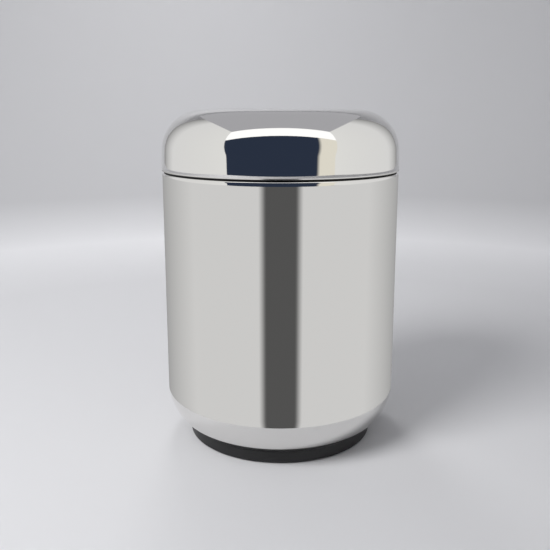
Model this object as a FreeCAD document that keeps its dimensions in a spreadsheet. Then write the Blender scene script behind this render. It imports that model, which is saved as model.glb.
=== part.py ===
# Insulated canister with a lift-off lid: a mirror-polished drawn shell on a small black foot,
# a steel liner in foam, a moulded neck collar, a domed lid with a shallow pressed dish in its
# top, and a perforated grid that stands in the liner.  Millimetres, +Z up, origin at the centre
# of the foot's underside.
import FreeCAD
import Part
import Sketcher
import os

SIZES = {
    # outer shell
    "body_radius": 82.0, "rim_height": 189.5, "shell_wall": 0.9, "floor_radius": 48.9,
    "shell_underside": 4.0, "rim_curl": 1.6, "rim_flange": 5.0,
    # foot
    "foot_radius": 66.0, "foot_rim_width": 10.2, "foot_web": 2.2, "foot_bore": 14.0,
    "foot_edge": 1.0, "tread_stand": 0.6, "tread_inset": 2.8, "tread_width": 4.4,
    "tread_height": 2.6, "seat_gap": 0.1,
    # foot fixings
    "screw_circle": 22.0, "screw_count": 3, "screw_radius": 1.95, "screw_length": 9.0,
    "screw_head_radius": 3.6, "screw_head_height": 1.1, "driver_radius": 1.3,
    "screw_clearance": 0.25, "thread_gap": 0.05, "plate_margin": 20.9, "plate_thickness": 1.5,
    "plate_bore": 8.0, "nut_flats": 7.0, "nut_thickness": 3.0,
    # liner and mouth
    "jacket": 10.3, "liner_wall": 0.8, "liner_floor": 26.0, "liner_flat": 42.0,
    "mouth_rise": 13.7, "lip_width": 6.2, "lip_edge": 0.35, "seal_thickness": 0.8,
    "seal_inset": 0.4,
    # collar
    "collar_gap": 0.4, "spigot_inset": 5.4, "ledge_inset": 2.0, "ledge_thickness": 0.7,
    "collar_depth": 11.0, "neck_gap": 0.2, "ring_groove": 1.4, "ring_thickness": 1.4,
    "ring_width": 3.3, "ring_split": 12.0, "ring_gap": 0.1,
    # foam
    "foam_gap": 0.4, "foam_split": 80.0, "foam_pocket": 30.5, "foam_pocket_height": 13.0,
    # lid shell
    "seam_gap": 1.0, "lid_overhang": 0.3, "lid_wall": 0.9, "lid_rise": 42.6,
    "skirt_height": 13.8, "skirt_lean": 0.5, "shoulder_radius": 28.0, "crest_inset": 49.1,
    "dish_depth": 2.2, "dish_wall": 8.0,
    # lid inside
    "pan_wall": 2.0, "pan_fit": 0.4, "pan_web_gap": 0.8, "pan_inset": 0.6, "pan_skirt": 0.9,
    "pan_corner": 3.0, "plug_gap": 0.6, "plug_depth": 14.0, "web_thickness": 2.8,
    "gasket_width": 4.2, "gasket_inset": 0.9, "gasket_depth": 1.0, "stud_radius": 2.5,
    "stud_clearance": 0.2, "stud_flange_radius": 7.0, "stud_flange": 1.0,
    "washer_radius": 7.0, "washer_thickness": 1.0, "lid_nut_flats": 8.0,
    "lid_nut_height": 4.0, "lid_nut_dome": 2.4,
    # drip grid
    "grid_gap": 2.6, "grid_thickness": 1.2, "grid_standoff": 8.0, "hole_radius": 2.5,
    "ring_first": 15.0, "ring_step": 8.0, "ring_holes": 5, "leg_radius": 3.0,
    "leg_count": 3, "post_radius": 3.0, "post_gap": 0.05, "post_height": 28.0,
    "post_shoulder_radius": 6.0, "post_shoulder": 2.0, "post_tail": 5.0,
    "grid_nut_flats": 10.0, "grid_nut_height": 4.0, "knob_radius": 10.0, "knob_neck": 5.0,
    "knob_height": 16.0,
}

# Values that follow from the sizes; each may use the ones above it.
FITS = {
    "shell_inner": "Sizes.body_radius - Sizes.shell_wall",
    "shell_corner": "Sizes.body_radius - Sizes.floor_radius",
    "shell_tangent": "Sizes.shell_underside + shell_corner",
    "shell_floor": "Sizes.shell_underside + Sizes.shell_wall",
    "inner_corner": "shell_corner - Sizes.shell_wall",
    "flange_bore": "Sizes.body_radius - Sizes.rim_flange",
    "flange_under": "Sizes.rim_height - Sizes.shell_wall",
    "curl_start": "Sizes.rim_height - Sizes.rim_curl",
    "curl_flat": "Sizes.body_radius - Sizes.rim_curl",
    "curl_inner": "Sizes.rim_curl - Sizes.shell_wall",
    # foot
    "foot_top": "Sizes.shell_underside - Sizes.seat_gap",
    "foot_under": "foot_top - Sizes.foot_web",
    "foot_seat": "shell_corner + Sizes.seat_gap",
    "foot_reach": "Sizes.foot_radius - Sizes.floor_radius",
    "foot_side": "shell_tangent - sqrt(foot_seat ^ 2 - foot_reach ^ 2)",
    "foot_inner": "Sizes.foot_radius - Sizes.foot_rim_width",
    "tread_outer": "Sizes.foot_radius - Sizes.tread_inset",
    "tread_inner": "tread_outer - Sizes.tread_width",
    "groove_outer": "tread_outer + Sizes.seat_gap",
    "groove_inner": "tread_inner - Sizes.seat_gap",
    "groove_roof": "Sizes.tread_height + Sizes.seat_gap",
    "screw_hole": "Sizes.screw_radius + Sizes.screw_clearance",
    "thread_bore": "Sizes.screw_radius + Sizes.thread_gap",
    "head_under": "foot_under - Sizes.screw_head_height",
    "screw_tip": "foot_under + Sizes.screw_length",
    "plate_radius": "Sizes.floor_radius - Sizes.plate_margin",
    "plate_top": "shell_floor + Sizes.plate_thickness",
    "nut_top": "plate_top + Sizes.nut_thickness",
    # liner
    "liner_outer": "shell_inner - Sizes.jacket",
    "liner_radius": "liner_outer - Sizes.liner_wall",
    "liner_corner": "liner_radius - Sizes.liner_flat",
    "mouth_height": "Sizes.rim_height + Sizes.mouth_rise",
    "liner_under": "Sizes.liner_floor - Sizes.liner_wall",
    "liner_turn": "liner_corner + Sizes.liner_wall",
    "liner_tangent": "Sizes.liner_floor + liner_corner",
    "lip_radius": "liner_radius + Sizes.lip_width",
    "lip_under": "mouth_height - Sizes.liner_wall",
    "seal_under": "lip_under - Sizes.seal_thickness",
    "seal_outer": "lip_radius - Sizes.seal_inset",
    # collar
    "collar_inner": "liner_outer + Sizes.collar_gap",
    "collar_radius": "Sizes.body_radius - Sizes.spigot_inset",
    "ledge_radius": "Sizes.body_radius - Sizes.ledge_inset",
    "ledge_top": "Sizes.rim_height + Sizes.ledge_thickness",
    "neck_radius": "flange_bore - Sizes.neck_gap",
    "groove_radius": "neck_radius - Sizes.ring_groove",
    "groove_top": "flange_under - Sizes.ring_gap",
    "groove_bottom": "groove_top - Sizes.ring_thickness - Sizes.ring_gap",
    "snap_inner": "groove_radius + Sizes.ring_gap",
    "snap_outer": "snap_inner + Sizes.ring_width",
    "snap_top": "groove_bottom + Sizes.ring_thickness",
    "collar_bottom": "Sizes.rim_height - Sizes.collar_depth",
    # foam
    "foam_outer": "shell_inner - Sizes.foam_gap",
    "foam_inner": "liner_outer + Sizes.foam_gap",
    "foam_corner": "inner_corner - Sizes.foam_gap",
    "foam_floor": "shell_floor + Sizes.foam_gap",
    "foam_hollow": "liner_turn + Sizes.foam_gap",
    "foam_seat": "liner_under - Sizes.foam_gap",
    "foam_top": "collar_bottom - Sizes.foam_gap",
    # lid shell
    "total_height": "Sizes.rim_height + Sizes.lid_rise",
    "crest_radius": "Sizes.body_radius - Sizes.crest_inset",
    "lid_radius": "Sizes.body_radius + Sizes.lid_overhang",
    "lid_edge": "Sizes.rim_height + Sizes.seam_gap",
    "skirt_radius": "lid_radius - Sizes.skirt_lean",
    "skirt_top": "lid_edge + Sizes.skirt_height",
    "skirt_slant": "sqrt(Sizes.skirt_height ^ 2 + Sizes.skirt_lean ^ 2)",
    "lean_cos": "Sizes.skirt_height / skirt_slant",
    "lean_sin": "Sizes.skirt_lean / skirt_slant",
    "shoulder_r": "skirt_radius - Sizes.shoulder_radius * lean_cos",
    "shoulder_z": "skirt_top - Sizes.shoulder_radius * lean_sin",
    "crown_run": "shoulder_r - crest_radius",
    "crown_rise": "total_height - shoulder_z",
    "crown_square": "crown_run ^ 2 + crown_rise ^ 2 - Sizes.shoulder_radius ^ 2",
    "crown_radius": "crown_square / (2 * (crown_rise - Sizes.shoulder_radius))",
    "crown_z": "total_height - crown_radius",
    "crown_share": "crown_radius / (crown_radius - Sizes.shoulder_radius)",
    "join_radius": "crest_radius + crown_run * crown_share",
    "join_height": "crown_z + (shoulder_z - crown_z) * crown_share",
    "dish_floor": "total_height - Sizes.dish_depth",
    "dish_radius": "crest_radius - Sizes.dish_wall",
    "dish_middle": "(crest_radius + dish_radius) / 2",
    "dish_half": "(total_height + dish_floor) / 2",
    "dish_turn": "(Sizes.dish_wall ^ 2 + Sizes.dish_depth ^ 2) / (4 * Sizes.dish_depth)",
    "lid_inner_edge": "lid_radius - Sizes.lid_wall / lean_cos",
    "skirt_inner_r": "skirt_radius - Sizes.lid_wall * lean_cos",
    "skirt_inner_z": "skirt_top - Sizes.lid_wall * lean_sin",
    "shoulder_inner": "Sizes.shoulder_radius - Sizes.lid_wall",
    "crown_inner": "crown_radius - Sizes.lid_wall",
    "join_inner_r": "crest_radius"
                    " + (join_radius - crest_radius) * crown_inner / crown_radius",
    "join_inner_z": "crown_z + (join_height - crown_z) * crown_inner / crown_radius",
    "crest_under": "total_height - Sizes.lid_wall",
    "dish_sin": "Sizes.dish_wall / (2 * dish_turn)",
    "dish_cos": "1 - Sizes.dish_depth / (2 * dish_turn)",
    "dish_middle_in": "dish_middle + Sizes.lid_wall * dish_sin",
    "dish_half_in": "dish_half - Sizes.lid_wall * dish_cos",
    "dish_turn_wide": "dish_turn + Sizes.lid_wall",
    "dish_turn_tight": "dish_turn - Sizes.lid_wall",
    # lid inside
    "dish_under": "dish_floor - Sizes.lid_wall",
    "web_under": "mouth_height + Sizes.pan_web_gap",
    "web_top": "web_under + Sizes.web_thickness",
    "pan_floor": "mouth_height - Sizes.plug_depth",
    "pan_inside": "pan_floor + Sizes.pan_wall",
    "plug_radius": "liner_radius - Sizes.plug_gap",
    "plug_inner": "plug_radius - Sizes.pan_wall",
    "plug_flat": "plug_radius - Sizes.pan_corner",
    "plug_tangent": "pan_floor + Sizes.pan_corner",
    "pan_bore": "collar_radius + Sizes.pan_fit",
    "pan_outer": "skirt_radius - Sizes.lid_wall - Sizes.pan_inset",
    "pan_edge": "lid_edge + Sizes.pan_skirt",
    "gasket_inner": "liner_radius + Sizes.gasket_inset",
    "gasket_outer": "gasket_inner + Sizes.gasket_width",
    "gasket_roof": "web_under + Sizes.gasket_depth",
    "pan_hole": "Sizes.stud_radius + Sizes.stud_clearance",
    "washer_under": "pan_floor - Sizes.washer_thickness",
    "lid_nut_under": "washer_under - Sizes.lid_nut_height",
    "lid_nut_bore": "Sizes.stud_radius + Sizes.thread_gap",
    "stud_end": "lid_nut_under + Sizes.thread_gap",
    "cap_radius": "Sizes.lid_nut_flats / 2 * 0.95",
    "cap_flat": "cap_radius / 2",
    "cap_bottom": "lid_nut_under - Sizes.lid_nut_dome",
    "cap_turn": "((cap_radius - cap_flat) ^ 2 + Sizes.lid_nut_dome ^ 2)"
                " / (2 * Sizes.lid_nut_dome)",
    "flange_low": "dish_under - Sizes.stud_flange",
    "lid_foam_bottom": "pan_inside + Sizes.foam_gap",
    "lid_foam_plug": "plug_inner - Sizes.foam_gap",
    "lid_foam_step": "web_top + Sizes.foam_gap",
    "lid_foam_turn": "Sizes.shoulder_radius - Sizes.lid_wall - Sizes.foam_gap",
    "lid_foam_rise": "lid_foam_step - shoulder_z",
    "lid_foam_side": "shoulder_r + sqrt(lid_foam_turn ^ 2 - lid_foam_rise ^ 2)",
    "lid_foam_crown": "crown_radius - Sizes.lid_wall - Sizes.foam_gap",
    "lid_foam_join_r": "crest_radius + (join_radius - crest_radius)"
                       " * lid_foam_crown / crown_radius",
    "lid_foam_join_z": "crown_z + (join_height - crown_z) * lid_foam_crown / crown_radius",
    "lid_foam_crest": "total_height - Sizes.lid_wall - Sizes.foam_gap",
    "lid_foam_top": "dish_under - Sizes.foam_gap",
    "lid_foam_bore": "pan_hole + Sizes.foam_gap",
    "lid_foam_pocket": "Sizes.stud_flange_radius + Sizes.foam_gap",
    "lid_foam_pocket_z": "flange_low - Sizes.foam_gap",
    # drip grid
    "grid_drop": "liner_corner - Sizes.grid_standoff",
    "grid_radius": "Sizes.liner_flat + sqrt(liner_corner ^ 2 - grid_drop ^ 2) - Sizes.grid_gap",
    "leg_circle": "Sizes.ring_first + 2 * Sizes.ring_step",
    "leg_turn": "180 / (3 * Sizes.ring_holes)",
    "grid_under": "Sizes.liner_floor + Sizes.grid_standoff",
    "grid_top": "grid_under + Sizes.grid_thickness",
    "grid_hole": "Sizes.post_radius + Sizes.post_gap",
    "post_bottom": "grid_under - Sizes.post_tail",
    "shoulder_top": "grid_top + Sizes.post_shoulder",
    "post_top": "grid_top + Sizes.post_height",
    "grid_nut_under": "grid_under - Sizes.grid_nut_height",
    "knob_under": "post_top - Sizes.knob_neck",
    "knob_middle": "knob_under + Sizes.knob_height / 2",
    "knob_top": "knob_under + Sizes.knob_height",
    "knob_roof": "post_top + Sizes.post_gap",
    "knob_bulge": "Sizes.knob_radius - Sizes.post_shoulder_radius",
    "knob_arc": "(knob_bulge ^ 2 + (Sizes.knob_height / 2) ^ 2) / (2 * knob_bulge)",
}

DOC = FreeCAD.newDocument("canister")
LEFT = 1
RIGHT = -1
ORIGIN = -1
HORIZONTAL_AXIS = -1
VERTICAL_AXIS = -2
TOUCH = 0.001


def fill_sheet(name, rows, formula):
    sheet = DOC.addObject("Spreadsheet::Sheet", name)
    for number, (alias, content) in enumerate(rows.items(), start=1):
        sheet.set("A%d" % number, alias)
        sheet.set("B%d" % number, formula % content)
        sheet.setAlias("B%d" % number, alias)
    DOC.recompute()
    return sheet


SHEET = fill_sheet("Sizes", SIZES, "%s")
FIT_SHEET = fill_sheet("Fits", FITS, "=%s")


def cell(name):
    """The full name of a size or a fit, as an expression."""
    return ("Sizes." if name in SIZES else "Fits.") + name


def value(expression):
    return float(SHEET.evalExpression(expression))


def origin_feature(body, role):
    return next(part for part in body.Origin.OriginFeatures if part.Role == role)


def across(name, centre):
    """A radius as an expression, counted from the sub-part's own axis at centre."""
    terms = [cell(term) for term in (centre, name) if term not in ("0", None)]
    return " + ".join(terms) or "0"


def arc_between(start, end, radius, turn):
    """The short arc from start to end; turn says which way the outline bends."""
    chord = end - start
    half = chord.Length / 2
    side = FreeCAD.Vector(-chord.y, chord.x, 0) * (turn / chord.Length)
    centre = (start + end) / 2 + side * max(radius ** 2 - half ** 2, 0) ** 0.5
    circle = Part.Circle(centre, FreeCAD.Vector(0, 0, 1), radius)
    first, last = (start, end) if turn == LEFT else (end, start)
    return Part.ArcOfCircle(circle, circle.parameter(first), circle.parameter(last))


def bind(sketch, kind, *where):
    """Add a dimension; the last item of where is its expression."""
    index = sketch.addConstraint(Sketcher.Constraint(kind, *where[:-1], value(where[-1])))
    sketch.setExpression("Constraints[%d]" % index, where[-1])


def place_corner(sketch, edge, end, radius, height):
    """Tie one end of an edge to a radius and a height; 0 means on the axis or the floor."""
    if radius == "0":
        sketch.addConstraint(Sketcher.Constraint("PointOnObject", edge, end, VERTICAL_AXIS))
    else:
        bind(sketch, "DistanceX", ORIGIN, 1, edge, end, radius)
    if height == "0":
        sketch.addConstraint(Sketcher.Constraint("PointOnObject", edge, end, HORIZONTAL_AXIS))
    else:
        bind(sketch, "DistanceY", ORIGIN, 1, edge, end, height)


def outline_sketch(body, corners, centre):
    """A closed half-section.  A corner is (radius, height), or (radius, height, arc, turn)
    where an arc of that radius leads to the next corner."""
    sketch = body.newObject("Sketcher::SketchObject", body.Name + "_outline")
    sketch.AttachmentSupport = (origin_feature(body, "XZ_Plane"), [""])
    sketch.MapMode = "FlatFace"
    places = [(across(corner[0], centre), across(corner[1], None)) for corner in corners]
    points = [FreeCAD.Vector(value(radius), value(height), 0) for radius, height in places]
    starts = []
    ends = []
    for index, corner in enumerate(corners):
        start = points[index]
        end = points[(index + 1) % len(points)]
        if len(corner) == 4:
            radius, turn = cell(corner[2]), corner[3]
            edge = sketch.addGeometry(arc_between(start, end, value(radius), turn), False)
            bind(sketch, "Radius", edge, radius)
        else:
            turn = LEFT
            edge = sketch.addGeometry(Part.LineSegment(start, end), False)
        starts.append((edge, 1 if turn == LEFT else 2))
        ends.append((edge, 2 if turn == LEFT else 1))
    for index, (radius, height) in enumerate(places):
        sketch.addConstraint(Sketcher.Constraint("Coincident", *ends[index - 1], *starts[index]))
        place_corner(sketch, *starts[index], radius, height)
    return sketch


def axis_line(sketch, centre):
    """A construction line up the sub-part's own axis."""
    top = value("Fits.total_height")
    reach = value(cell(centre))
    line = Part.LineSegment(FreeCAD.Vector(reach, 0, 0), FreeCAD.Vector(reach, top, 0))
    edge = sketch.addGeometry(line, True)
    for end in (1, 2):
        bind(sketch, "DistanceX", ORIGIN, 1, edge, end, cell(centre))
    sketch.addConstraint(Sketcher.Constraint("PointOnObject", edge, 1, HORIZONTAL_AXIS))
    bind(sketch, "DistanceY", ORIGIN, 1, edge, 2, "Fits.total_height")


def turned(name, corners, centre=None):
    """A body made by turning an outline about the object's axis, or about one at centre."""
    body = DOC.addObject("PartDesign::Body", name)
    body.Label = name
    sketch = outline_sketch(body, corners, centre)
    if centre:
        axis_line(sketch, centre)
    DOC.recompute()
    turning = body.newObject("PartDesign::Revolution", name + "_turned")
    turning.Profile = sketch
    turning.ReferenceAxis = (sketch, ["Axis0"] if centre else ["V_Axis"])
    turning.Angle = 360
    DOC.recompute()
    return body


def repeated(body, features, count, step):
    """Repeat features, or with none named the whole body so far, round the axis."""
    pattern = body.newObject("PartDesign::PolarPattern", "%s_round_%s" % (body.Name, step))
    pattern.Originals = features
    pattern.TransformMode = "Features" if features else "Whole shape"
    pattern.Axis = (origin_feature(body, "Z_Axis"), [""])
    pattern.Angle = 360
    pattern.setExpression("Occurrences", count)
    body.Tip = pattern
    DOC.recompute()


def drilled(body, step, circle, radius):
    """One hole up through the body, on a circle about the axis."""
    before = body.Shape.Volume
    sketch = body.newObject("Sketcher::SketchObject", "%s_hole_%s" % (body.Name, step))
    sketch.AttachmentSupport = (origin_feature(body, "XY_Plane"), [""])
    sketch.MapMode = "FlatFace"
    middle = FreeCAD.Vector(value(circle), 0, 0)
    hole = sketch.addGeometry(Part.Circle(middle, FreeCAD.Vector(0, 0, 1), value(radius)), False)
    bind(sketch, "DistanceX", ORIGIN, 1, hole, 3, circle)
    sketch.addConstraint(Sketcher.Constraint("PointOnObject", hole, 3, HORIZONTAL_AXIS))
    bind(sketch, "Radius", hole, radius)
    pocket = body.newObject("PartDesign::Pocket", "%s_drilled_%s" % (body.Name, step))
    pocket.Profile = sketch
    pocket.Type = "ThroughAll"
    pocket.Reversed = True
    body.Tip = pocket
    DOC.recompute()
    if not body.Shape.Volume < before:
        raise RuntimeError(body.Name + ": the hole cuts nothing")
    return pocket


def primitive(body, kind, step, sizes):
    """A primitive feature whose properties are bound to expressions."""
    feature = body.newObject("PartDesign::" + kind, "%s_%s" % (body.Name, step))
    for name, expression in sizes.items():
        feature.setExpression(name, expression)
    DOC.recompute()
    return feature


def hexagon(body, kind, step, circumradius, height, bottom, centre="0"):
    sizes = {"Circumradius": circumradius, "Height": height,
             "Placement.Base.x": across("0", None if centre == "0" else centre),
             "Placement.Base.z": bottom}
    feature = primitive(body, kind, step, sizes)
    feature.Polygon = 6
    DOC.recompute()
    return feature


def rounded(body, radius, *rings):
    """Fillet the circular edges that lie at the given (radius, height) places."""
    names = []
    places = [(value(across(ring, None)), value(across(height, None))) for ring, height in rings]
    for number, edge in enumerate(body.Tip.Shape.Edges, start=1):
        if not isinstance(edge.Curve, Part.Circle):
            continue
        found = (edge.Curve.Radius, edge.Curve.Center.z)
        if any(abs(found[0] - ring) + abs(found[1] - height) < TOUCH for ring, height in places):
            names.append("Edge%d" % number)
    base = body.Tip
    fillet = body.newObject("PartDesign::Fillet", body.Name + "_rounded")
    fillet.Base = (base, names)
    fillet.setExpression("Radius", radius)
    body.Tip = fillet
    DOC.recompute()


def box_ring(inner, bottom, outer, top):
    """Corners of a plain ring with a rectangular section."""
    return [(inner, bottom), (outer, bottom), (outer, top), (inner, top)]


# ---- the canister --------------------------------------------------------------------------

def outer_shell():
    """Deep-drawn shell with a large bottom corner and a rim that curls in to a flange."""
    body = turned("outer_shell", [
        ("0", "shell_underside"),
        ("floor_radius", "shell_underside", "shell_corner", LEFT),
        ("body_radius", "shell_tangent"),
        ("body_radius", "curl_start", "rim_curl", LEFT),
        ("curl_flat", "rim_height"),
        ("flange_bore", "rim_height"),
        ("flange_bore", "flange_under"),
        ("curl_flat", "flange_under", "curl_inner", RIGHT),
        ("shell_inner", "curl_start"),
        ("shell_inner", "shell_tangent", "inner_corner", RIGHT),
        ("floor_radius", "shell_floor"),
        ("0", "shell_floor")])
    hole = drilled(body, "screw", "Sizes.screw_circle", "Fits.screw_hole")
    repeated(body, [hole], "Sizes.screw_count", "screw")


def foot_ring():
    """Moulded foot: a rim that follows the shell's corner and a web that takes the screws."""
    body = turned("foot_ring", [
        ("foot_bore", "foot_under"),
        ("foot_inner", "foot_under"),
        ("foot_inner", "tread_stand"),
        ("groove_inner", "tread_stand"),
        ("groove_inner", "groove_roof"),
        ("groove_outer", "groove_roof"),
        ("groove_outer", "tread_stand"),
        ("foot_radius", "tread_stand"),
        ("foot_radius", "foot_side", "foot_seat", RIGHT),
        ("floor_radius", "foot_top"),
        ("foot_bore", "foot_top")])
    rounded(body, "Sizes.foot_edge", ("foot_radius", "tread_stand"))
    hole = drilled(body, "screw", "Sizes.screw_circle", "Fits.screw_hole")
    repeated(body, [hole], "Sizes.screw_count", "screw")


def foot_tread():
    """Soft ring pressed into the foot's groove; the canister stands on it."""
    body = turned("foot_tread", box_ring("tread_inner", "0", "tread_outer", "tread_height"))
    rounded(body, "Sizes.tread_stand / 2", ("tread_inner", "0"), ("tread_outer", "0"))


def foot_screws():
    """Pan-head screws with hexagon sockets, up through the foot into the nuts."""
    body = turned("foot_screws", [
        ("0", "head_under"),
        ("screw_head_radius", "head_under"),
        ("screw_head_radius", "foot_under"),
        ("screw_radius", "foot_under"),
        ("screw_radius", "screw_tip"),
        ("0", "screw_tip")], centre="screw_circle")
    hexagon(body, "SubtractivePrism", "socket", "Sizes.driver_radius",
            "Sizes.screw_head_height / 2", "Fits.head_under", "screw_circle")
    repeated(body, [], "Sizes.screw_count", "screw")


def base_plate():
    """Stiffening disc welded to the inside of the shell's floor."""
    body = turned("base_plate", box_ring("plate_bore", "shell_floor", "plate_radius", "plate_top"))
    hole = drilled(body, "screw", "Sizes.screw_circle", "Fits.screw_hole")
    repeated(body, [hole], "Sizes.screw_count", "screw")


def base_nuts():
    """Weld nuts on the stiffening disc."""
    body = DOC.addObject("PartDesign::Body", "base_nuts")
    body.Label = "base_nuts"
    hexagon(body, "AdditivePrism", "block", "Sizes.nut_flats / sqrt(3)",
            "Sizes.nut_thickness", "Fits.plate_top", "screw_circle")
    primitive(body, "SubtractiveCylinder", "bore", {
        "Radius": "Fits.thread_bore", "Height": "Sizes.nut_thickness",
        "Placement.Base.x": "Sizes.screw_circle", "Placement.Base.z": "Fits.plate_top"})
    repeated(body, [], "Sizes.screw_count", "nut")


def inner_liner():
    """Drawn liner with a rounded floor corner and a flat lip."""
    body = turned("inner_liner", [
        ("0", "liner_under"),
        ("liner_flat", "liner_under", "liner_turn", LEFT),
        ("liner_outer", "liner_tangent"),
        ("liner_outer", "lip_under"),
        ("lip_radius", "lip_under"),
        ("lip_radius", "mouth_height"),
        ("liner_radius", "mouth_height"),
        ("liner_radius", "liner_tangent", "liner_corner", RIGHT),
        ("liner_flat", "liner_floor"),
        ("0", "liner_floor")])
    rounded(body, "Sizes.lip_edge", ("lip_radius", "mouth_height"), ("lip_radius", "lip_under"),
            ("liner_radius", "mouth_height"))


def liner_seal():
    """Flat seal between the liner's lip and the collar."""
    turned("liner_seal", box_ring("collar_inner", "seal_under", "seal_outer", "lip_under"))


def rim_collar():
    """Moulded collar: its ledge closes the seam, its spigot centres the lid."""
    turned("rim_collar", [
        ("collar_inner", "collar_bottom"),
        ("neck_radius", "collar_bottom"),
        ("neck_radius", "groove_bottom"),
        ("groove_radius", "groove_bottom"),
        ("groove_radius", "groove_top"),
        ("neck_radius", "groove_top"),
        ("neck_radius", "rim_height"),
        ("ledge_radius", "rim_height"),
        ("ledge_radius", "ledge_top"),
        ("collar_radius", "ledge_top"),
        ("collar_radius", "seal_under"),
        ("collar_inner", "seal_under")])


def snap_ring():
    """Split spring ring that holds the collar under the shell's flange."""
    body = turned("snap_ring", box_ring("snap_inner", "groove_bottom", "snap_outer", "snap_top"))
    primitive(body, "SubtractiveBox", "split", {
        "Length": "Fits.snap_outer + 1", "Width": "Sizes.ring_split",
        "Height": "Sizes.ring_thickness", "Placement.Base.y": "-Sizes.ring_split / 2",
        "Placement.Base.z": "Fits.groove_bottom"})


def insulation_sleeve():
    """Foam sleeve round the straight part of the liner."""
    turned("insulation_sleeve", box_ring("foam_inner", "foam_split", "foam_outer", "foam_top"))


def insulation_base():
    """Foam cup under the liner, hollowed for the base plate and its nuts."""
    turned("insulation_base", [
        ("0", "foam_pocket_height"),
        ("foam_pocket", "foam_pocket_height"),
        ("foam_pocket", "foam_floor"),
        ("floor_radius", "foam_floor", "foam_corner", LEFT),
        ("foam_outer", "shell_tangent"),
        ("foam_outer", "foam_split"),
        ("foam_inner", "foam_split"),
        ("foam_inner", "liner_tangent", "foam_hollow", RIGHT),
        ("liner_flat", "foam_seat"),
        ("0", "foam_seat")])


# ---- the lid -------------------------------------------------------------------------------

def lid_shell():
    """Drawn lid: a leaning skirt, a round shoulder, a crowned top and a shallow dish."""
    body = turned("lid_shell", [
        ("0", "dish_under"),
        ("dish_radius", "dish_under", "dish_turn_wide", LEFT),
        ("dish_middle_in", "dish_half_in", "dish_turn_tight", RIGHT),
        ("crest_radius", "crest_under", "crown_inner", RIGHT),
        ("join_inner_r", "join_inner_z", "shoulder_inner", RIGHT),
        ("skirt_inner_r", "skirt_inner_z"),
        ("lid_inner_edge", "lid_edge"),
        ("lid_radius", "lid_edge"),
        ("skirt_radius", "skirt_top", "shoulder_radius", LEFT),
        ("join_radius", "join_height", "crown_radius", LEFT),
        ("crest_radius", "total_height", "dish_turn", LEFT),
        ("dish_middle", "dish_half", "dish_turn", RIGHT),
        ("dish_radius", "dish_floor"),
        ("0", "dish_floor")])
    rounded(body, "Sizes.lid_wall / 3", ("lid_radius", "lid_edge"), ("lid_inner_edge", "lid_edge"))


def lid_pan():
    """Moulded pan: a plug that enters the mouth, a web and a ring that fits over the collar."""
    turned("lid_pan", [
        ("pan_hole", "pan_floor"),
        ("plug_flat", "pan_floor", "pan_corner", LEFT),
        ("plug_radius", "plug_tangent"),
        ("plug_radius", "web_under"),
        ("gasket_inner", "web_under"),
        ("gasket_inner", "gasket_roof"),
        ("gasket_outer", "gasket_roof"),
        ("gasket_outer", "web_under"),
        ("pan_bore", "web_under"),
        ("pan_bore", "pan_edge"),
        ("pan_outer", "pan_edge"),
        ("pan_outer", "web_top"),
        ("plug_inner", "web_top"),
        ("plug_inner", "pan_inside"),
        ("pan_hole", "pan_inside")])


def lid_gasket():
    """Soft ring in the pan's groove; it rests on the liner's lip and carries the lid."""
    turned("lid_gasket", box_ring("gasket_inner", "mouth_height", "gasket_outer", "gasket_roof"))


def lid_insulation():
    """Foam that fills the pan and the dome, hollowed for the stud."""
    turned("lid_insulation", [
        ("lid_foam_bore", "lid_foam_bottom"),
        ("lid_foam_plug", "lid_foam_bottom"),
        ("lid_foam_plug", "lid_foam_step"),
        ("lid_foam_side", "lid_foam_step", "lid_foam_turn", LEFT),
        ("lid_foam_join_r", "lid_foam_join_z", "lid_foam_crown", LEFT),
        ("crest_radius", "lid_foam_crest"),
        ("dish_middle", "lid_foam_top"),
        ("lid_foam_pocket", "lid_foam_top"),
        ("lid_foam_pocket", "lid_foam_pocket_z"),
        ("lid_foam_bore", "lid_foam_pocket_z")])


def lid_stud():
    """Threaded stud with a flange, welded under the dish."""
    turned("lid_stud", [
        ("0", "stud_end"),
        ("stud_radius", "stud_end"),
        ("stud_radius", "flange_low"),
        ("stud_flange_radius", "flange_low"),
        ("stud_flange_radius", "dish_under"),
        ("0", "dish_under")])


def lid_washer():
    turned("lid_washer", box_ring("pan_hole", "washer_under", "washer_radius", "pan_floor"))


def lid_nut():
    """Domed cap nut that holds the pan up on the stud."""
    body = turned("lid_nut", [
        ("0", "cap_bottom"),
        ("cap_flat", "cap_bottom", "cap_turn", LEFT),
        ("cap_radius", "lid_nut_under"),
        ("0", "lid_nut_under")])
    hexagon(body, "AdditivePrism", "block", "Sizes.lid_nut_flats / sqrt(3)",
            "Sizes.lid_nut_height", "Fits.lid_nut_under")
    primitive(body, "SubtractiveCylinder", "bore", {
        "Radius": "Fits.lid_nut_bore", "Height": "Sizes.lid_nut_height",
        "Placement.Base.z": "Fits.lid_nut_under"})


# ---- the drip grid -------------------------------------------------------------------------

def drip_grid():
    """Perforated disc: rings of holes round a central hole for the post."""
    body = turned("drip_grid", box_ring("grid_hole", "grid_under", "grid_radius", "grid_top"))
    rounded(body, "Sizes.grid_thickness / 4", ("grid_radius", "grid_top"),
            ("grid_radius", "grid_under"))
    width = value("Fits.grid_radius - Sizes.ring_first - Sizes.hole_radius")
    for ring in range(int(width / value("Sizes.ring_step")) + 1):
        circle = "Sizes.ring_first + %d * Sizes.ring_step" % ring
        hole = drilled(body, ring, circle, "Sizes.hole_radius")
        repeated(body, [hole], "Sizes.ring_holes * %d" % (ring + 1), ring)


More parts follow.
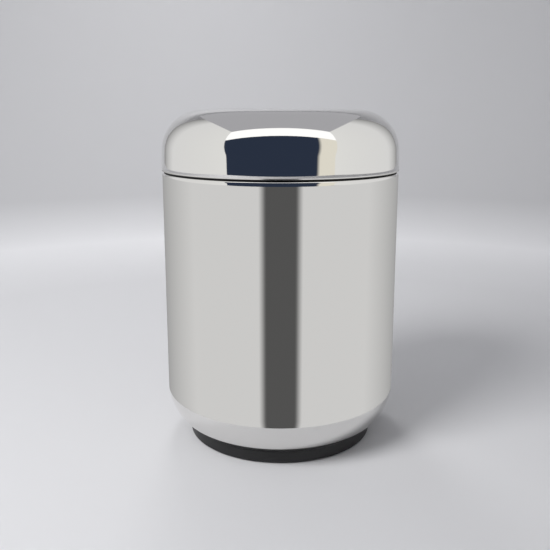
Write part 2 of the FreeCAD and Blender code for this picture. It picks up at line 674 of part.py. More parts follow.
def grid_legs():
    """Pegs under the grid, between the holes of its third ring; they stand on the liner."""
    body = turned("grid_legs", [
        ("0", "liner_floor"),
        ("leg_radius", "liner_floor"),
        ("leg_radius", "grid_under"),
        ("0", "grid_under")], centre="leg_circle")
    repeated(body, [], "Sizes.leg_count", "leg")
    body.setExpression("Placement.Rotation.Angle", "Fits.leg_turn")


def grid_post():
    """Rod through the grid with a shoulder above it."""
    turned("grid_post", [
        ("0", "post_bottom"),
        ("post_radius", "post_bottom"),
        ("post_radius", "grid_top"),
        ("post_shoulder_radius", "grid_top"),
        ("post_shoulder_radius", "shoulder_top"),
        ("post_radius", "shoulder_top"),
        ("post_radius", "post_top"),
        ("0", "post_top")])


def grid_nut():
    """Nut that holds the post to the grid from below."""
    body = DOC.addObject("PartDesign::Body", "grid_nut")
    body.Label = "grid_nut"
    hexagon(body, "AdditivePrism", "block", "Sizes.grid_nut_flats / sqrt(3)",
            "Sizes.grid_nut_height", "Fits.grid_nut_under")
    primitive(body, "SubtractiveCylinder", "bore", {
        "Radius": "Fits.grid_hole", "Height": "Sizes.grid_nut_height",
        "Placement.Base.z": "Fits.grid_nut_under"})


def grid_knob():
    """Round knob pressed on to the post."""
    turned("grid_knob", [
        ("grid_hole", "knob_under"),
        ("post_shoulder_radius", "knob_under", "knob_arc", LEFT),
        ("knob_radius", "knob_middle", "knob_arc", LEFT),
        ("post_shoulder_radius", "knob_top"),
        ("0", "knob_top"),
        ("0", "knob_roof"),
        ("grid_hole", "knob_roof")])


SUB_PARTS = (
    outer_shell, foot_ring, foot_tread, foot_screws, base_plate, base_nuts, inner_liner,
    liner_seal, rim_collar, snap_ring, insulation_sleeve, insulation_base,
    lid_shell, lid_pan, lid_gasket, lid_insulation, lid_stud, lid_washer, lid_nut,
    drip_grid, grid_legs, grid_post, grid_nut, grid_knob)


def check_document():
    for item in DOC.Objects:
        if "Invalid" in item.State or "Error" in item.State:
            raise RuntimeError("%s failed: %s" % (item.Name, item.State))


def export(name):
    shape = DOC.getObject(name).Shape
    if shape.isNull() or not shape.isValid():
        raise RuntimeError(name + " has no valid shape")
    shape.exportStep("parts/%s.step" % name)
    print("%-20s solids %d  volume %10.1f mm3" % (name, len(shape.Solids), shape.Volume))


for make in SUB_PARTS:
    make()
DOC.recompute()
check_document()
os.makedirs("parts", exist_ok=True)
for make in SUB_PARTS:
    export(make.__name__)
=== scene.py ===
# Looks for an insulated canister with a lift-off domed lid: mirror-buffed stainless shells, a satin
# liner, black mouldings at the foot, mouth and lid, pale silicone seals, white foam, and a brushed
# grid on a post.  Metres, +Z up, origin under the middle of the foot.  Sizes here are in mm.
import math

import bmesh
import bpy
from mathutils import Matrix, Vector


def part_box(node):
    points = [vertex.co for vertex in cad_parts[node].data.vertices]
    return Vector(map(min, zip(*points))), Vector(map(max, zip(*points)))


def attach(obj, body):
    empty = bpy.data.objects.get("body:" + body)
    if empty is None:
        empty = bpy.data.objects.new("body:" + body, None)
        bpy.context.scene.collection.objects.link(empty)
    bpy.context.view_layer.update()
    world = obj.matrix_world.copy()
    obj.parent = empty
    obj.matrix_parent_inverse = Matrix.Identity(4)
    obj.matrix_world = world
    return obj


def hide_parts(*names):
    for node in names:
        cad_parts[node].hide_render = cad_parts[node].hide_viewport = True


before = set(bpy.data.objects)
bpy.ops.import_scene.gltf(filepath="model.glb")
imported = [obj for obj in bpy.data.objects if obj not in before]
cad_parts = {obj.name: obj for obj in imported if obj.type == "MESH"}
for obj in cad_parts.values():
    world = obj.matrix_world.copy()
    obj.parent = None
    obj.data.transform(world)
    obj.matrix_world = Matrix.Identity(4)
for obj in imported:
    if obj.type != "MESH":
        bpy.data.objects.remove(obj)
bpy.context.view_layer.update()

MM = 0.001
TURNS = 180          # steps round a turned piece
RUN = 3.0            # longest straight piece of an outline
ARC = 1.5            # degrees in one step of a wide arc
CHORD = 0.5          # shortest step worth making on a small arc
CREASE = math.radians(32)
CARD_POWER = 1.25    # strength of the cards that only reflections see


# ---- making pieces -------------------------------------------------------------------------

def low(node, axis):
    """The lowest place of a CAD node along an axis, in mm."""
    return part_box(node)[0]["XYZ".index(axis)] / MM


def high(node, axis):
    """The highest place of a CAD node along an axis, in mm."""
    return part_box(node)[1]["XYZ".index(axis)] / MM


def draw_outline(bm, start, moves):
    """Draws a half-section.  A move of two numbers is a straight run to that radius and height;
    a move of three is an arc: its centre, then the degrees to turn, positive to the left."""
    tip = bm.verts.new((start[0] * MM, 0, start[1] * MM))
    for move in moves:
        if len(move) == 2:
            run = Vector((move[0] * MM, 0, move[1] * MM)) - tip.co
            steps = max(math.ceil(run.length / (RUN * MM)), 1)
            for _ in range(steps):
                tip = bmesh.ops.extrude_vert_indiv(bm, verts=[tip])["verts"][0]
                bmesh.ops.translate(bm, verts=[tip], vec=run / steps)
            continue
        centre = Vector((move[0] * MM, 0, move[1] * MM))
        length = math.radians(abs(move[2])) * (tip.co - centre).length / MM
        steps = max(abs(move[2]) / 15, min(abs(move[2]) / ARC, length / CHORD), 2)
        arc = bmesh.ops.spin(bm, geom=[tip], cent=centre, axis=(0, -1, 0),
                             angle=math.radians(move[2]), steps=math.ceil(steps))
        tip = next(item for item in arc["geom_last"] if isinstance(item, bmesh.types.BMVert))


def finished(name, bm):
    """Makes an object of a bmesh: smooth, with its creases kept sharp."""
    for face in bm.faces:
        face.smooth = True
    for edge in bm.edges:
        edge.smooth = edge.calc_face_angle(0) < CREASE
    mesh = bpy.data.meshes.new(name)
    bm.to_mesh(mesh)
    bm.free()
    piece = bpy.data.objects.new(name, mesh)
    bpy.context.scene.collection.objects.link(piece)
    return piece


def turned(name, start, *moves):
    """A piece made by spinning a closed outline about the canister's axis."""
    bm = bmesh.new()
    draw_outline(bm, start, (*moves, start) if start[0] else moves)
    bmesh.ops.remove_doubles(bm, verts=bm.verts, dist=1e-6)
    bmesh.ops.spin(bm, geom=bm.verts[:] + bm.edges[:], cent=(0, 0, 0), axis=(0, 0, 1),
                   angle=math.tau, steps=TURNS, use_merge=True)
    bmesh.ops.remove_doubles(bm, verts=bm.verts, dist=1e-6)
    bmesh.ops.recalc_face_normals(bm, faces=bm.faces)
    return finished(name, bm)


def smoothed(name, node):
    """A copy of a CAD node with its triangles merged, so that its curves shade as curves."""
    bm = bmesh.new()
    bm.from_mesh(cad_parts[node].data)
    bmesh.ops.remove_doubles(bm, verts=bm.verts, dist=1e-6)
    return finished(name, bm)


def fit(piece, body, slot, material, *nodes):
    """Puts a piece on its body in place of CAD nodes, with its finish."""
    piece.data.materials.append(material)
    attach(piece, body)
    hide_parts(*nodes)
    return piece


def finish_node(node, material):
    """Gives a CAD node that stays as it is a better material."""
    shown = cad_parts[node]
    for place in shown.material_slots:
        place.material = material
    if not shown.material_slots:
        shown.data.materials.append(material)


# ---- making materials ----------------------------------------------------------------------

def colour(code):
    """An sRGB hex colour as the linear colour that shaders take."""
    parts = [int(code[place:place + 2], 16) / 255 for place in (1, 3, 5)]
    return (*[part / 12.92 if part <= 0.04045 else ((part + 0.055) / 1.055) ** 2.4
              for part in parts], 1.0)


def new_material(name):
    material = bpy.data.materials.new(name)
    material.use_nodes = True
    material.node_tree.nodes.clear()
    return material


def add(material, kind, inputs=None, stops=(), **settings):
    """Adds a node.  Settings are its properties; inputs are its sockets by name or number, each
    a value or another node; stops are (place, colour) for a ramp."""
    node = material.node_tree.nodes.new("ShaderNode" + kind)
    for name, value in settings.items():
        setattr(node, name, value)
    for name, value in (inputs or {}).items():
        if isinstance(value, bpy.types.Node):
            value = value.outputs[0]
        if isinstance(value, bpy.types.NodeSocket):
            material.node_tree.links.new(value, node.inputs[name])
        else:
            node.inputs[name].default_value = value
    for number, (place, tint) in enumerate(stops):
        ramp = node.color_ramp.elements
        stop = ramp[number] if number < 2 else ramp.new(place)
        stop.position = place
        stop.color = tint
    return node


def round_grain(material):
    """Object coordinates folded round the axis, so that a pattern made from them runs in rings."""
    place = add(material, "TexCoord").outputs["Object"]
    apart = add(material, "SeparateXYZ", {0: place})
    flat = add(material, "CombineXYZ", {"X": apart.outputs["X"], "Y": apart.outputs["Y"]})
    reach = add(material, "VectorMath", {0: flat}, operation="LENGTH")
    return add(material, "CombineXYZ", {"X": reach.outputs["Value"], "Z": apart.outputs["Z"]})


def mirror_steel(name, ring_depth):
    """Stainless steel, deep drawn and buffed to a mirror: it gives the eye the room, with a faint
    haze left by wiping and hair-fine buffing rings that only soften the edges of what it shows."""
    material = new_material(name)
    place = add(material, "TexCoord").outputs["Object"]
    # wipe marks about 40 mm across
    haze = add(material, "TexNoise", {"Vector": place, "Scale": 1 / (40 * MM), "Detail": 3.0})
    rough = add(material, "MapRange", {"Value": haze, "From Min": 0.35, "From Max": 0.75,
                                       "To Min": 0.03, "To Max": 0.055})
    # buffing rings are 0.05 mm apart; drawn 1.2 mm apart so that they show at all
    rings = add(material, "TexNoise", {"Vector": round_grain(material), "Scale": 1 / (1.2 * MM),
                                       "Detail": 2.0})
    # the drawn sheet is flat to a few microns over 30 mm
    swell = add(material, "TexNoise", {"Vector": place, "Scale": 1 / (30 * MM), "Detail": 0.0})
    wave = add(material, "Bump", {"Height": swell, "Strength": 1.0, "Distance": 0.012 * MM})
    relief = add(material, "Bump", {"Height": rings, "Strength": 1.0, "Normal": wave,
                                    "Distance": ring_depth * MM})
    steel = add(material, "BsdfPrincipled", {
        "Base Color": colour("#E9E8E6"), "Metallic": 1.0, "Roughness": rough, "Normal": relief})
    add(material, "OutputMaterial", {"Surface": steel})
    return material


def satin_steel(name):
    """Stainless steel, spun and rubbed with a fine pad: a soft sheen crossed by rings of fine
    scratches, a little duller where drops have dried."""
    material = new_material(name)
    place = add(material, "TexCoord").outputs["Object"]
    # pad scratches are 0.1 mm apart; drawn 0.7 mm apart so that they show
    rings = add(material, "TexNoise", {"Vector": round_grain(material), "Scale": 1 / (0.7 * MM),
                                       "Detail": 4.0, "Roughness": 0.7})
    spots = add(material, "TexNoise", {"Vector": place, "Scale": 1 / (18 * MM), "Detail": 5.0})
    mixed = add(material, "Math", {0: rings, 1: spots}, operation="ADD")
    rough = add(material, "MapRange", {"Value": mixed, "From Min": 0.7, "From Max": 1.3,
                                       "To Min": 0.24, "To Max": 0.36})
    relief = add(material, "Bump", {"Height": rings, "Strength": 0.6, "Distance": 0.02 * MM})
    steel = add(material, "BsdfPrincipled", {
        "Base Color": colour("#C9C8C5"), "Metallic": 1.0, "Roughness": rough, "Normal": relief})
    add(material, "OutputMaterial", {"Surface": steel})
    return material


def brushed_steel(name):
    """Stainless sheet, belt-brushed one way before it is punched: straight grain across the disc
    that streaks the light."""
    material = new_material(name)
    place = add(material, "TexCoord").outputs["Object"]
    # belt grain is 0.15 mm wide and 30 mm long; drawn 0.5 mm wide so that it shows
    grain = add(material, "Mapping", {"Vector": place, "Scale": (1 / 60, 1, 1)})
    lines = add(material, "TexNoise", {"Vector": grain, "Scale": 1 / (0.5 * MM), "Detail": 3.0})
    rough = add(material, "MapRange", {"Value": lines, "From Min": 0.3, "From Max": 0.7,
                                       "To Min": 0.2, "To Max": 0.38})
    relief = add(material, "Bump", {"Height": lines, "Strength": 0.5, "Distance": 0.02 * MM})
    steel = add(material, "BsdfPrincipled", {
        "Base Color": colour("#C4C4C2"), "Metallic": 1.0, "Roughness": rough, "Normal": relief})
    add(material, "OutputMaterial", {"Surface": steel})
    return material


def machined_steel(name, tone, base_rough):
    """Turned or stamped steel with a thin bright coat: even, slightly cloudy, with tool rings too
    fine to see one by one."""
    material = new_material(name)
    place = add(material, "TexCoord").outputs["Object"]
    cloud = add(material, "TexNoise", {"Vector": place, "Scale": 1 / (3 * MM), "Detail": 4.0})
    rough = add(material, "MapRange", {"Value": cloud, "To Min": base_rough - 0.08,
                                       "To Max": base_rough + 0.08})
    tint = add(material, "ValToRGB", {"Fac": cloud},
               stops=((0.3, colour(tone)), (0.8, colour("#DADAD6"))))
    relief = add(material, "Bump", {"Height": cloud, "Strength": 0.3, "Distance": 0.03 * MM})
    steel = add(material, "BsdfPrincipled", {
        "Base Color": tint, "Metallic": 1.0, "Roughness": rough, "Normal": relief})
    add(material, "OutputMaterial", {"Surface": steel})
    return material


def moulded_plastic(name, shade, lift, grain, depth, base_rough):
    """Black moulding taken from a spark-eroded tool: a fine even pebble that breaks up the light,
    lighter where dust sits and slightly polished where hands touch."""
    material = new_material(name)
    place = add(material, "TexCoord").outputs["Object"]
    pebble = add(material, "TexNoise", {"Vector": place, "Scale": 1 / (grain * MM), "Detail": 2.0})
    touch = add(material, "TexNoise", {"Vector": place, "Scale": 1 / (25 * MM), "Detail": 4.0})
    tint = add(material, "ValToRGB", {"Fac": touch},
               stops=((0.3, colour(shade)), (0.75, colour(lift))))
    rough = add(material, "MapRange", {"Value": touch, "From Min": 0.3, "From Max": 0.7,
                                       "To Min": base_rough - 0.07, "To Max": base_rough + 0.07})
    relief = add(material, "Bump", {"Height": pebble, "Strength": 0.7, "Distance": depth * MM})
    plastic = add(material, "BsdfPrincipled", {
        "Base Color": tint, "Roughness": rough, "Normal": relief, "IOR": 1.5})
    add(material, "OutputMaterial", {"Surface": plastic})
    return material


def soft_rubber(name):
    """Thermoplastic rubber, moulded matt: near black, chalky at the worn edge."""
    material = new_material(name)
    place = add(material, "TexCoord").outputs["Object"]
    speck = add(material, "TexNoise", {"Vector": place, "Scale": 1 / (0.6 * MM), "Detail": 4.0})
    tint = add(material, "ValToRGB", {"Fac": speck},
               stops=((0.35, colour("#1C1C1D")), (0.8, colour("#3A3A3B"))))
    relief = add(material, "Bump", {"Height": speck, "Strength": 0.6, "Distance": 0.05 * MM})
    rubber = add(material, "BsdfPrincipled", {
        "Base Color": tint, "Roughness": 0.82, "Normal": relief, "IOR": 1.5})
    add(material, "OutputMaterial", {"Surface": rubber})
    return material


def cast_silicone(name):
    """Food-grade silicone, cast: milky, light passes a little way in, with a soft bloom."""
    material = new_material(name)
    place = add(material, "TexCoord").outputs["Object"]
    bloom = add(material, "TexNoise", {"Vector": place, "Scale": 1 / (6 * MM), "Detail": 5.0})
    tint = add(material, "ValToRGB", {"Fac": bloom},
               stops=((0.3, colour("#D9D8D2")), (0.75, colour("#EDECE8"))))
    rough = add(material, "MapRange", {"Value": bloom, "To Min": 0.4, "To Max": 0.6})
    relief = add(material, "Bump", {"Height": bloom, "Strength": 0.3, "Distance": 0.04 * MM})
    silicone = add(material, "BsdfPrincipled", {
        "Base Color": tint, "Roughness": rough, "Normal": relief, "IOR": 1.41,
        "Subsurface Weight": 0.25, "Subsurface Radius": (0.002, 0.002, 0.0018)})
    add(material, "OutputMaterial", {"Surface": silicone})
    return material


def bead_foam(name):
    """Expanded polystyrene: white beads about 3 mm across, pressed flat against each other, with
    fine dark joins."""
    material = new_material(name)
    place = add(material, "TexCoord").outputs["Object"]
    beads = add(material, "TexVoronoi", {"Vector": place, "Scale": 1 / (3 * MM)},
                feature="DISTANCE_TO_EDGE")
    tint = add(material, "ValToRGB", {"Fac": beads.outputs["Distance"]},
               stops=((0.0, colour("#C9C8C4")), (0.12, colour("#F1F1EE"))))
    relief = add(material, "Bump", {"Height": beads.outputs["Distance"], "Strength": 0.8,
                                    "Distance": 0.4 * MM})
    foam = add(material, "BsdfPrincipled", {
        "Base Color": tint, "Roughness": 0.75, "Normal": relief, "IOR": 1.3,
        "Subsurface Weight": 0.2, "Subsurface Radius": (0.003, 0.003, 0.003)})
    add(material, "OutputMaterial", {"Surface": foam})
    return material


# ---- the canister --------------------------------------------------------------------------

def outer_shell(steel):
    """Deep-drawn shell: flat floor, a wide bottom corner, a straight wall and a curled rim."""
    radius = high("outer_shell", "X")
    under = low("outer_shell", "Z")
    rim = high("outer_shell", "Z")
    wall, floor_flat, curl, flange = 0.9, 48.9, 1.6, 5.0
    corner = under + radius - floor_flat
    piece = turned(
        "polished_shell", (0, under), (floor_flat, under), (floor_flat, corner, 90),
        (radius, rim - curl), (radius - curl, rim - curl, 90),
        (radius - flange, rim), (radius - flange, rim - wall), (radius - curl, rim - wall),
        (radius - curl, rim - curl, -90), (radius - wall, corner),
        (floor_flat, corner, -90), (0, under + wall))
    return fit(piece, "bucket", "polished_shell", steel, "outer_shell")


def foot_ring(plastic):
    """Moulded foot that follows the shell's bottom corner, grooved for its tread."""
    outer = high("foot_ring", "X")
    shell = high("outer_shell", "X")
    under = low("outer_shell", "Z")
    gap, bore, web, rim, stand, edge, flat = 0.1, 14.0, 2.2, 10.2, 0.6, 1.0, 48.9
    top = under - gap
    seat = shell - flat + gap
    centre = (flat, top + seat)
    reach = math.degrees(math.asin((outer - centre[0]) / seat))
    side = centre[1] - seat * math.cos(math.radians(reach))
    groove = (high("foot_tread", "X") - 4.4 - gap, high("foot_tread", "X") + gap)
    roof = high("foot_tread", "Z") + gap
    piece = turned(
        "black_foot", (bore, top - web), (outer - rim - 1.0, top - web),
        (outer - rim - 1.0, top - web - 1.0, -90), (outer - rim, stand), (groove[0], stand),
        (groove[0], roof), (groove[1], roof), (groove[1], stand), (outer - edge, stand),
        (outer - edge, stand + edge, 90), (outer, side), (*centre, -reach), (bore, top))
    return fit(piece, "bucket", "black_foot", plastic, "foot_ring")


def foot_tread(rubber):
    """Soft ring pressed into the foot's groove."""
    outer = high("foot_tread", "X")
    top = high("foot_tread", "Z")
    inner = outer - 4.4
    edge = 0.3
    piece = turned(
        "grip_tread", (inner, top), (inner, edge), (inner + edge, edge, 90),
        (outer - edge, 0), (outer - edge, edge, 90), (outer, top))
    return fit(piece, "bucket", "tread_rubber", rubber, "foot_tread")


def inner_liner(steel):
    """Drawn liner with a rounded floor corner and a flat lip with softened edges."""
    lip = high("inner_liner", "X")
    mouth = high("inner_liner", "Z")
    under = low("inner_liner", "Z")
    wall, inner, flat, edge = 0.8, lip - 6.2, 42.0, 0.35
    floor = under + wall
    corner = floor + inner - flat
    piece = turned(
        "satin_liner", (0, under), (flat, under), (flat, corner, 90),
        (inner + wall, mouth - wall), (lip - edge, mouth - wall),
        (lip - edge, mouth - wall + edge, 90), (lip, mouth - edge),
        (lip - edge, mouth - edge, 90), (inner + edge, mouth), (inner + edge, mouth - edge, 90),
        (inner, corner), (flat, corner, -90), (0, floor))
    return fit(piece, "bucket", "satin_liner", steel, "inner_liner")


def liner_seal(silicone):
    """Flat seal under the liner's lip."""
    inner, outer = high("inner_liner", "X") - 5.0, high("liner_seal", "X")
    bottom, top = low("liner_seal", "Z"), high("liner_seal", "Z")
    piece = turned("lip_seal", (inner, bottom), (outer, bottom), (outer, top), (inner, top))
    return fit(piece, "bucket", "pale_silicone", silicone, "liner_seal")


def rim_collar(plastic):
    """Moulded collar: its ledge closes the seam, its spigot centres the lid."""
    ledge = high("rim_collar", "X")
    top = high("rim_collar", "Z")
    bottom = low("rim_collar", "Z")
    rim = high("outer_shell", "Z")
    spigot = high("outer_shell", "X") - 5.4
    inner = high("inner_liner", "X") - 5.0
    neck = high("outer_shell", "X") - 5.0 - 0.2
    groove = neck - 1.4
    groove_top, groove_bottom = rim - 1.0, rim - 2.5
    edge = 0.25
    piece = turned(
        "black_collar", (inner, bottom), (neck, bottom), (neck, groove_bottom),
        (groove, groove_bottom), (groove, groove_top), (neck, groove_top), (neck, rim),
        (ledge - edge, rim), (ledge - edge, rim + edge, 90), (ledge, rim + 0.7 - edge),
        (ledge - edge, rim + 0.7 - edge, 90), (spigot, rim + 0.7), (spigot, top - edge),
        (spigot - edge, top - edge, 90), (inner, top))
    return fit(piece, "bucket", "black_collar", plastic, "rim_collar")


# ---- the lid -------------------------------------------------------------------------------

def lid_shell(steel):
    """Drawn lid: a leaning skirt, a round shoulder, a crowned top and a shallow pressed dish."""
    edge = high("lid_shell", "X")
    bottom = low("lid_shell", "Z")
    top = high("lid_shell", "Z")
    wall, lean, skirt, shoulder = 0.9, 0.5, 13.8, 28.0
    crest, dish_floor, dish_wall = 32.9, 2.2, 8.0
    tilt = math.atan2(lean, skirt)
    centre = (edge - lean - shoulder * math.cos(tilt), bottom + skirt - shoulder * math.sin(tilt))
    run, rise = centre[0] - crest, top - centre[1]
    crown = (run ** 2 + rise ** 2 - shoulder ** 2) / (2 * (rise - shoulder))
    crown_low = top - crown
    turn = math.degrees(math.atan2(centre[1] - crown_low, run))
    dish_turn = (dish_wall ** 2 + dish_floor ** 2) / (4 * dish_floor)
    dip = math.degrees(math.asin(dish_wall / (2 * dish_turn)))
    shoulder_turn = turn - math.degrees(tilt)
    hem = wall / 3
    piece = turned(
        "polished_lid", (0, top - dish_floor - wall), (crest - dish_wall, top - dish_floor - wall),
        (crest - dish_wall, top - dish_floor + dish_turn, dip), (crest, top - dish_turn, -dip),
        (crest, crown_low, turn - 90), (*centre, -shoulder_turn),
        (edge - wall, bottom + hem), (edge - wall + hem, bottom + hem, 90),
        (edge - hem, bottom), (edge - hem, bottom + hem, 90),
        (edge - lean, bottom + skirt), (*centre, shoulder_turn),
        (crest, crown_low, 90 - turn), (crest, top - dish_turn, dip),
        (crest - dish_wall, top - dish_floor + dish_turn, -dip), (0, top - dish_floor))
    return fit(piece, "lid", "polished_lid", steel, "lid_shell")


def lid_pan(plastic):
    """Moulded pan under the lid: a plug for the mouth, a web and a ring round the collar."""
    outer = high("lid_pan", "X")
    top = high("lid_pan", "Z")
    floor = low("lid_pan", "Z")
    mouth = high("inner_liner", "Z")
    liner = high("inner_liner", "X") - 6.2
    plug, corner, wall, hole = liner - 0.6, 3.0, 2.0, 2.7
    web = mouth + 0.8
    groove = (liner + 0.9, liner + 5.1)
    bore = high("outer_shell", "X") - 5.0
    skirt = low("lid_shell", "Z") + 0.9
    edge = 0.3
    piece = turned(
        "black_pan", (hole, floor), (plug - corner, floor), (plug - corner, floor + corner, 90),
        (plug, web), (groove[0], web), (groove[0], web + 1.0), (groove[1], web + 1.0),
        (groove[1], web), (bore, web), (bore, skirt), (outer - edge, skirt),
        (outer - edge, skirt + edge, 90), (outer, top), (plug - wall, top),
        (plug - wall, floor + wall), (hole, floor + wall))
    return fit(piece, "lid", "black_pan", plastic, "lid_pan")


def lid_gasket(silicone):
    """Soft ring in the pan's groove, rounded where it meets the lip."""
    outer = high("lid_gasket", "X")
    bottom, top = low("lid_gasket", "Z"), high("lid_gasket", "Z")
    inner = outer - 4.2
    edge = 0.5
    piece = turned(
        "lid_gasket_ring", (inner, top), (inner, bottom + edge), (inner + edge, bottom + edge, 90),
        (outer - edge, bottom), (outer - edge, bottom + edge, 90), (outer, top))
    return fit(piece, "lid", "pale_silicone", silicone, "lid_gasket")


# ---- the room ------------------------------------------------------------------------------

def sweep():
    """A pale paper bowl: floor, a wide bend and a wall, the same from every side, with painted
    light in its colour.
    """
    bm = bmesh.new()
    draw_outline(bm, (0, 0), ((640, 0), (640, 500, 90), (1140, 2400)))
    bmesh.ops.spin(bm, geom=bm.verts[:] + bm.edges[:], cent=(0, 0, 0), axis=(0, 0, 1),
                   angle=math.tau, steps=96, use_merge=True)
    bmesh.ops.remove_doubles(bm, verts=bm.verts, dist=1e-6)
    piece = finished("paper_sweep", bm)
    material = new_material("backdrop_paper_painted_light")
    place = add(material, "TexCoord").outputs["Object"]
    # painted light on plain pale paper: pale floor, a painted glow where it begins to rise, painted
    # shade greying the wall
    reach = add(material, "VectorMath", {0: place}, operation="LENGTH").outputs["Value"]
    tint = add(material, "ValToRGB", {"Fac": reach}, stops=(
        (0.5, colour("#D8D8DA")), (0.75, colour("#E6E6E8")), (0.9, colour("#C0C0C2"))))
    paper = add(material, "BsdfPrincipled", {"Base Color": tint, "Roughness": 0.9})
    add(material, "OutputMaterial", {"Surface": paper})
    piece.data.materials.append(material)


def for_reflections(piece):
    """Keeps a card out of everything but the reflections of the steel."""
    piece.visible_camera = False
    piece.visible_diffuse = False
    piece.visible_shadow = False
    piece.visible_transmission = False


def card(name, corner, along, up, stops):
    """A glowing card that only reflections see.  It starts at corner and runs along and up, in
    mm; stops are (place along, hex)."""
    bm = bmesh.new()
    first = bm.verts.new([part * MM for part in corner])
    strip = bmesh.ops.extrude_vert_indiv(bm, verts=[first])
    bmesh.ops.translate(bm, verts=strip["verts"], vec=[part * MM for part in along])
    sheet = bmesh.ops.extrude_edge_only(bm, edges=bm.edges[:])
    raised = [item for item in sheet["geom"] if isinstance(item, bmesh.types.BMVert)]
    bmesh.ops.translate(bm, verts=raised, vec=[part * MM for part in up])
    piece = finished(name, bm)
    material = new_material(name + "_light")
    place = add(material, "TexCoord").outputs["Object"]
    from_corner = add(material, "VectorMath", {0: place, 1: [part * MM for part in corner]},
                      operation="SUBTRACT")
    square = sum(part ** 2 for part in along) * MM
    share = add(material, "VectorMath", {0: from_corner, 1: [part / square for part in along]},
                operation="DOT_PRODUCT").outputs["Value"]
    length = math.dist((0, 0, 0), along)
    tint = add(material, "ValToRGB", {"Fac": share},
               stops=[(spot / length, colour(shade)) for spot, shade in stops])
    glow = add(material, "Emission", {"Color": tint, "Strength": CARD_POWER})
    add(material, "OutputMaterial", {"Surface": glow})
    piece.data.materials.append(material)
    for_reflections(piece)


def near_wall():
    """A round card close to the shell, which only reflections see: a pale room with one dark
    doorway straight ahead, so that the mirror finish has something upright to bend."""
    reach, foot, top, half_turn = 120, 0.5, 185, 120
    door, jamb = 9, 4
    pale, dull, dark = "#C8C8C8", "#909090", "#505050"
    bm = bmesh.new()
    draw_outline(bm, (reach, foot), ((reach, top),))
    start = Matrix.Rotation(math.radians(-90 - half_turn), 3, "Z")
    bmesh.ops.rotate(bm, verts=bm.verts, matrix=start)
    bmesh.ops.spin(bm, geom=bm.verts[:] + bm.edges[:], cent=(0, 0, 0), axis=(0, 0, 1),
                   angle=math.radians(2 * half_turn), steps=half_turn)
    piece = finished("near_wall", bm)
    material = new_material("near_wall_light")
    place = add(material, "TexCoord").outputs["Object"]
    apart = add(material, "SeparateXYZ", {0: place})
    left = add(material, "Math", {0: apart.outputs["X"], 1: -1.0}, operation="MULTIPLY")
    ahead = add(material, "Math", {0: apart.outputs["Y"], 1: -1.0}, operation="MULTIPLY")
    turn = add(material, "Math", {0: left, 1: ahead}, operation="ARCTAN2")
    share = add(material, "MapRange", {"Value": turn, "From Min": math.radians(-half_turn),
                                       "From Max": math.radians(half_turn)})
    shades = ((-half_turn, dull), (-half_turn / 2, pale), (-door - jamb, pale), (-door, dark),
              (door, dark), (door + jamb, pale), (half_turn / 2, pale), (half_turn, dull))
    tint = add(material, "ValToRGB", {"Fac": share},
               stops=[((angle / half_turn + 1) / 2, colour(shade)) for angle, shade in shades])
    glow = add(material, "Emission", {"Color": tint, "Strength": CARD_POWER})
    add(material, "OutputMaterial", {"Surface": glow})
    piece.data.materials.append(material)
    for_reflections(piece)


def cards():
    """Painted reflection of a plain room for the polished lid, on glowing cards that light nothing:
    dark front with a pale curtain at one end, even side walls with painted falloff to the back, a
    white window band and a grey ceiling."""
    half, base, top = 300, 175, 600
    sill = 415
    card("front_wall", (-half, -half, base), (2 * half, 0, 0), (0, 70, sill - base), (
        (0, "#283040"), (460, "#283040"), (480, "#D8D4C8"), (2 * half, "#D8D4C8")))
    card("window_band", (-half, 70 - half, sill), (2 * half, 0, 0), (0, 50, top - sill), (
        (0, "#FFFFFF"), (2 * half, "#FFFFFF")))
    for name, side in (("left_wall", -half), ("right_wall", half)):
        card(name, (side, -half, base), (0, 2 * half, 0), (0, 0, top - base), (
            (0, "#D8D8D6"), (400, "#D0D0D0"), (2 * half, "#808080")))
    card("ceiling", (-half, 120 - half, top), (2 * half, 0, 0), (0, 680, 0), (
        (0, "#A0A0A4"), (2 * half, "#A0A0A4")))


def lamp(name, place, aim, size, power):
    """A soft studio light that reflections don't show."""
    light = bpy.data.lights.new(name, "AREA")
    light.shape = "DISK"
    light.size = size * MM
    light.energy = power
    holder = bpy.data.objects.new(name, light)
    bpy.context.scene.collection.objects.link(holder)
    holder.location = [part * MM for part in place]
    direction = (holder.location - Vector([part * MM for part in aim]))
    holder.rotation_euler = direction.to_track_quat("Z", "Y").to_euler()
    holder.visible_glossy = False
    holder.visible_camera = False


def lights():
    world = bpy.data.worlds.new("studio")
    world.use_nodes = True
    world.node_tree.nodes["Background"].inputs["Color"].default_value = colour("#DDE0E6")
    world.node_tree.nodes["Background"].inputs["Strength"].default_value = 0.45
    bpy.context.scene.world = world
    lamp("key_softbox", (-700, -650, 900), (0, 60, 0), 600, 13)
    lamp("bend_light", (-150, 700, 900), (-60, 800, 0), 300, 3)


def camera():
    """Stands close in front, a little above the lid, and looks down 12 degrees."""
    lens = bpy.data.cameras.new("camera")
    lens.lens = 47.2
    lens.sensor_width = 36
    lens.shift_y = -0.02
    holder = bpy.data.objects.new("camera", lens)
    holder.location = (-3.7 * MM, -508.5 * MM, 231.0 * MM)
    holder.rotation_euler = (math.pi / 2 - 0.2105, 0, 0)
    bpy.context.scene.collection.objects.link(holder)
    bpy.context.scene.camera = holder
    bpy.context.scene.view_settings.view_transform = "Standard"


# ---- put together --------------------------------------------------------------------------

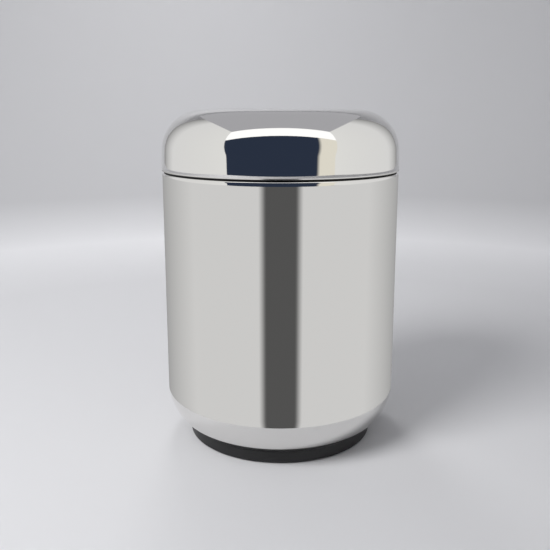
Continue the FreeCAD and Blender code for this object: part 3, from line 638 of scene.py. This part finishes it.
SHELL_STEEL = mirror_steel("mirror_buffed_stainless_shell", 0.0006)
LID_STEEL = mirror_steel("mirror_buffed_stainless_lid", 0.0004)
LINER_STEEL = satin_steel("pad_rubbed_stainless_liner")
GRID_STEEL = brushed_steel("belt_brushed_stainless_sheet")
PLAIN_STEEL = machined_steel("stamped_steel", "#9FA0A0", 0.36)
SCREW_STEEL = machined_steel("zinc_plated_screw_steel", "#A9ABB0", 0.3)
FOOT_PLASTIC = moulded_plastic("moulded_abs_foot", "#0F0F10", "#1B1B1D", 0.5, 0.06, 0.5)
COLLAR_PLASTIC = moulded_plastic("moulded_polypropylene_collar", "#151516", "#242426", 0.6, 0.03,
                                 0.42)
PAN_PLASTIC = moulded_plastic("moulded_abs_pan", "#161617", "#262628", 0.7, 0.04, 0.4)
KNOB_PLASTIC = moulded_plastic("moulded_phenolic_knob", "#121213", "#1E1E20", 0.8, 0.02, 0.22)
RUBBER = soft_rubber("moulded_thermoplastic_rubber")
SILICONE = cast_silicone("cast_silicone")
FOAM = bead_foam("expanded_polystyrene")

outer_shell(SHELL_STEEL)
foot_ring(FOOT_PLASTIC)
foot_tread(RUBBER)
inner_liner(LINER_STEEL)
liner_seal(SILICONE)
rim_collar(COLLAR_PLASTIC)
lid_shell(LID_STEEL)
lid_pan(PAN_PLASTIC)
lid_gasket(SILICONE)

for node, body, slot, material in (
        ("foot_screws", "bucket", "screw_steel", SCREW_STEEL),
        ("lid_washer", "lid", "screw_steel", SCREW_STEEL),
        ("lid_nut", "lid", "screw_steel", SCREW_STEEL),
        ("drip_grid", "grid", "satin_grid", GRID_STEEL),
        ("grid_legs", "grid", "satin_grid", PLAIN_STEEL),
        ("grid_post", "grid", "satin_grid", PLAIN_STEEL),
        ("grid_nut", "grid", "screw_steel", SCREW_STEEL),
        ("grid_knob", "grid", "black_knob", KNOB_PLASTIC)):
    fit(smoothed("shown_" + node, node), body, slot, material, node)

for node, material in (
        ("base_plate", PLAIN_STEEL), ("base_nuts", PLAIN_STEEL), ("snap_ring", PLAIN_STEEL),
        ("lid_stud", PLAIN_STEEL), ("insulation_sleeve", FOAM), ("insulation_base", FOAM),
        ("lid_insulation", FOAM)):
    finish_node(node, material)

sweep()
near_wall()
cards()
lights()
camera()
